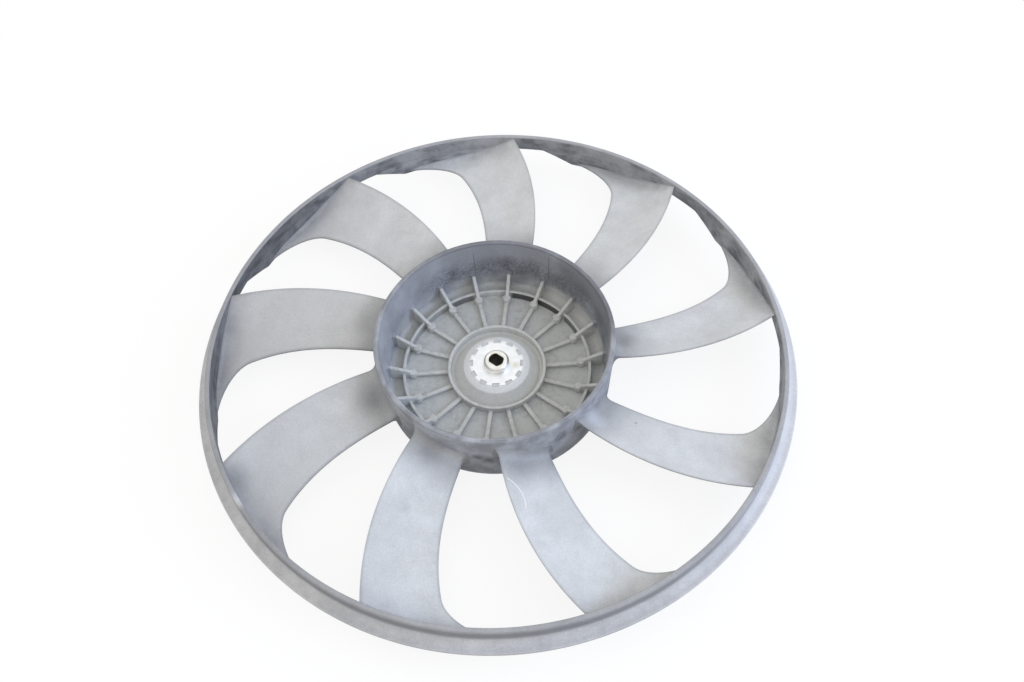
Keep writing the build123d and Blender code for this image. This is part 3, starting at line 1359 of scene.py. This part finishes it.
@dataclass
class Inserts:
    """Metal pieces in the boss: the toothed plate and the shaft bush."""

    plate_tip: float = 17.9
    plate_root: float = 15.8
    plate_top_z: float = 13.0
    plate_thickness: float = 2.0
    tooth_count: int = 12
    tooth_angle: float = 9.0
    notch_width: float = 4.8
    tip_chords: int = 6
    bore_sides: int = 96
    bush_radius: float = 8.5
    bush_top_z: float = 17.0
    bush_chamfer: float = 1.4
    bush_foot_round: float = 0.3
    bush_shoulder_round: float = 0.8
    bush_top_round: float = 0.5
    bush_steps: int = 120
    shaft_radius: float = 5.0
    across_flats: float = 8.0
    flat_angle: float = -42.0
    bore_overrun: float = 1.0
    edge_ease: float = 0.2

    def tooth(self, middle: float) -> list[Vector]:
        """Finds the outline of one tooth with the floor of the notch after it.

        Args:
            middle: the tooth's angle, in radians.

        Returns:
            Points at the plate's underside, in metres.
        """
        pitch = math.tau / self.tooth_count
        half_notch = self.notch_width / 2
        notch_corner = math.hypot(self.plate_root, half_notch)
        half_tip = pitch / 2 - math.asin(half_notch / self.plate_tip)
        half_root = pitch / 2 - math.asin(half_notch / notch_corner)
        places = [(notch_corner, -half_root)]
        for step in range(self.tip_chords + 1):
            places.append((self.plate_tip, half_tip * (2 * step / self.tip_chords - 1)))
        places.append((notch_corner, half_root))
        height = self.plate_top_z - self.plate_thickness
        outline = []
        for radius, angle in places:
            across = radius * math.cos(middle + angle)
            outline.append(Vector((across, radius * math.sin(middle + angle), height)) * MM)
        return outline

    def plate(self, finish: bpy.types.Material) -> bpy.types.Object:
        """Draws the plate's toothed outline and its bore, fills between them and dresses the plate.

        Args:
            finish: the plate's material.

        Returns:
            The finished piece.
        """
        outline = []
        for tooth in range(self.tooth_count):
            outline += self.tooth(math.radians(self.tooth_angle + 360 / self.tooth_count * tooth))
        piece = drawn_outline("toothed_plate", outline)
        height = self.plate_top_z - self.plate_thickness
        bpy.ops.mesh.primitive_circle_add(
            vertices=self.bore_sides, radius=self.bush_radius * MM, location=(0, 0, height * MM)
        )
        bpy.ops.mesh.select_all(action="SELECT")
        bpy.ops.mesh.fill(use_beauty=True)
        bpy.ops.mesh.select_all(action="SELECT")
        bpy.ops.mesh.extrude_region_move(
            TRANSFORM_OT_translate={"value": (0, 0, self.plate_thickness * MM)}
        )
        closed(piece)
        eased(piece, self.edge_ease, sharper_than=50)
        smoothed(piece)
        return dressed(piece, finish, Node.PLATE)

    def bush(self, finish: bpy.types.Material) -> bpy.types.Object:
        """Turns the bush, cuts its double-flat bore and dresses it.

        Args:
            finish: the bush's material.

        Returns:
            The finished piece.
        """
        pilot = self.shaft_radius / 2
        piece = turned(
            "flatted_bush",
            [
                (pilot, 0, 0),
                (self.bush_radius, 0, self.bush_foot_round),
                (self.bush_radius, self.bush_top_z - self.bush_chamfer, self.bush_shoulder_round),
                (self.bush_radius - self.bush_chamfer, self.bush_top_z, self.bush_top_round),
                (pilot, self.bush_top_z, 0),
            ],
            self.bush_steps,
        )
        overrun = self.bore_overrun
        bore = upright("bore", self.shaft_radius, -overrun, self.bush_top_z + overrun, self.bush_steps)
        pick(bore)
        bpy.ops.object.mode_set(mode="EDIT")
        for side in (1, -1):
            bpy.ops.mesh.select_all(action="SELECT")
            bpy.ops.mesh.bisect(
                plane_co=(0, side * self.across_flats / 2 * MM, 0),
                plane_no=(0, side, 0),
                use_fill=True,
                clear_outer=True,
            )
        closed(bore)
        bore.data.transform(Matrix.Rotation(math.radians(self.flat_angle), 4, "Z"))
        applied(piece, "BOOLEAN", object=bore, operation="DIFFERENCE", solver="EXACT")
        bpy.data.objects.remove(bore)
        eased(piece, self.edge_ease, sharper_than=60)
        smoothed(piece)
        return dressed(piece, finish, Node.BUSH)


# Studio


@dataclass(frozen=True)
class Viewpoint:
    """Camera at the photograph's viewing angle, aimed at the ring's centre."""

    focal_px: float = 999.71
    image_width: float = 1024.0
    elevation: float = 57.01
    roll: float = -5.17
    pan: float = 0.98
    tilt: float = -0.22
    distance: float = 647.55
    aim_z: float = 35.0
    sensor_width: float = 36.0
    clip_start: float = 0.01
    clip_end: float = 20.0

    def place(self) -> None:
        """Adds the camera and makes it the scene's."""
        data = bpy.data.cameras.new("viewpoint")
        data.sensor_width = self.sensor_width
        data.lens = self.focal_px / self.image_width * self.sensor_width
        data.clip_start = self.clip_start
        data.clip_end = self.clip_end
        camera = bpy.data.objects.new("viewpoint", data)
        bpy.context.scene.collection.objects.link(camera)
        height = math.radians(self.elevation)
        back = Vector((0, -math.cos(height), math.sin(height)))
        right = Vector((1, 0, 0))
        level = Matrix((right, back.cross(right), back))
        roll = Matrix.Rotation(-math.radians(self.roll), 3, "Z")
        pan = Matrix.Rotation(math.radians(self.pan), 3, "Y")
        tilt = Matrix.Rotation(math.radians(self.tilt), 3, "X")
        to_camera = tilt @ pan @ roll @ level
        place = back * self.distance * MM + Vector((0, 0, self.aim_z * MM))
        camera.matrix_world = Matrix.Translation(place) @ to_camera.transposed().to_4x4()
        bpy.context.scene.camera = camera


@dataclass(frozen=True)
class Studio:
    """White floor that keeps the wheel's shadow, white surroundings and one soft lamp."""

    floor_size: float = 8.0
    floor_bounce: float = 0.6
    floor_shadow: float = 0.16
    floor_glow: float = 0.85
    world_light: float = 0.9
    world_tint: str = "#fffdfb"
    lamp_place: Corner = (1.35, -0.4, 0.85)
    lamp_size: float = 0.9
    lamp_power: float = 11.0
    lamp_tint: str = "#b6d0ff"

    def floor(self) -> None:
        """Adds the floor, which looks white and keeps a faint shadow."""
        deselect()
        bpy.ops.mesh.primitive_plane_add(size=self.floor_size)
        floor = named("studio_floor")
        material = blank("white_studio_floor")
        tree = material.node_tree
        bounce, shadow = ((grey, grey, grey, 1) for grey in (self.floor_bounce, self.floor_shadow))
        seen = add_node(tree, "ShaderNodeLightPath", "Is Camera Ray", {})
        matt = add_node(tree, "ShaderNodeBsdfDiffuse", "BSDF", {"Color": bounce})
        faint = add_node(tree, "ShaderNodeBsdfDiffuse", "BSDF", {"Color": shadow})
        emitted = {"Color": (1, 1, 1, 1), "Strength": self.floor_glow}
        glow = add_node(tree, "ShaderNodeEmission", "Emission", emitted)
        white = add_node(tree, "ShaderNodeAddShader", "Shader", {0: faint, 1: glow})
        shown = add_node(tree, "ShaderNodeMixShader", "Shader", {0: seen, 1: matt, 2: white})
        add_node(tree, "ShaderNodeOutputMaterial", None, {"Surface": shown})
        floor.data.materials.append(material)

    def surroundings(self) -> None:
        """Sets the world: white where it is seen, softer as light."""
        world = bpy.data.worlds.new("white_surroundings")
        bpy.context.scene.world = world
        world.use_nodes = True
        tree = world.node_tree
        tree.nodes.clear()
        seen = add_node(tree, "ShaderNodeLightPath", "Is Camera Ray", {})
        rays = seen.node.outputs
        for ray in (rays["Is Glossy Ray"], rays["Is Transmission Ray"]):
            seen = add_node(tree, "ShaderNodeMath", 0, {0: seen, 1: ray}, operation="MAXIMUM")
        levels = {"Value": seen, "To Min": self.world_light, "To Max": 1.0}
        strength = add_node(tree, "ShaderNodeMapRange", "Result", levels)
        tints = {0: seen, 6: linear(self.world_tint), 7: (1, 1, 1, 1)}
        tint = add_node(tree, "ShaderNodeMix", 2, tints, data_type="RGBA")
        emitted = {"Color": tint, "Strength": strength}
        light = add_node(tree, "ShaderNodeBackground", "Background", emitted)
        add_node(tree, "ShaderNodeOutputWorld", None, {"Surface": light})

    def lamp(self) -> None:
        """Adds a square soft lamp aimed at the hub."""
        data = bpy.data.lights.new("soft_key", "AREA")
        data.size = self.lamp_size
        data.energy = self.lamp_power
        data.color = linear(self.lamp_tint)[:3]
        lamp = bpy.data.objects.new("soft_key", data)
        bpy.context.scene.collection.objects.link(lamp)
        lamp.location = self.lamp_place
        lamp.rotation_mode = "QUATERNION"
        lamp.rotation_quaternion = (-Vector(self.lamp_place)).to_track_quat("-Z", "Y")

    def set_up(self) -> None:
        """Adds floor, surroundings and lamp, and sets the view transform."""
        self.floor()
        self.surroundings()
        self.lamp()
        bpy.context.scene.view_settings.view_transform = "Standard"


def main() -> None:
    """Builds the fan wheel and its studio."""
    logging.basicConfig(level=logging.INFO, format="%(name)s: %(message)s")
    ring_finish = RingPlastic(name="dusty_moulded_polypropylene_ring", body="#bebfc1", pale="#cdcecf")
    blade_finish = BladePlastic(name="dusty_moulded_polypropylene_blades", body="#d2d4d5", pale="#dee1e2")
    hub_finish = HubPlastic(name="dusty_moulded_polypropylene_hub", body="#b4b6ba", pale="#c4c7cb")
    zinc = PlatedSteel(
        name="bright_zinc_plated_steel",
        body="#fdfeff",
        pale="#f4f7f9",
        roughness=0.42,
        stain="#cfc4a4",
        stain_share=0.5,
        stained_at=dab((12.5, -3.0, 13.0), 4.0),
    )
    yellow_zinc = PlatedSteel(
        name="yellow_passivated_steel",
        body="#fbfaf6",
        pale="#eeebe0",
        roughness=0.36,
        # Partly grease and partly painted shade on the near side of the bush's foot
        stain="#8f7f5c",
        stain_share=0.6,
        stained_at=dab((3.0, -9.5, 12.0), 5.0),
    )
    Ring().build(ring_finish.make())
    Blades().build(blade_finish.make())
    Hub().build(hub_finish.make())
    inserts = Inserts()
    inserts.plate(zinc.make())
    inserts.bush(yellow_zinc.make())
    Viewpoint().place()
    Studio().set_up()


if __name__ == "__main__":
    main()
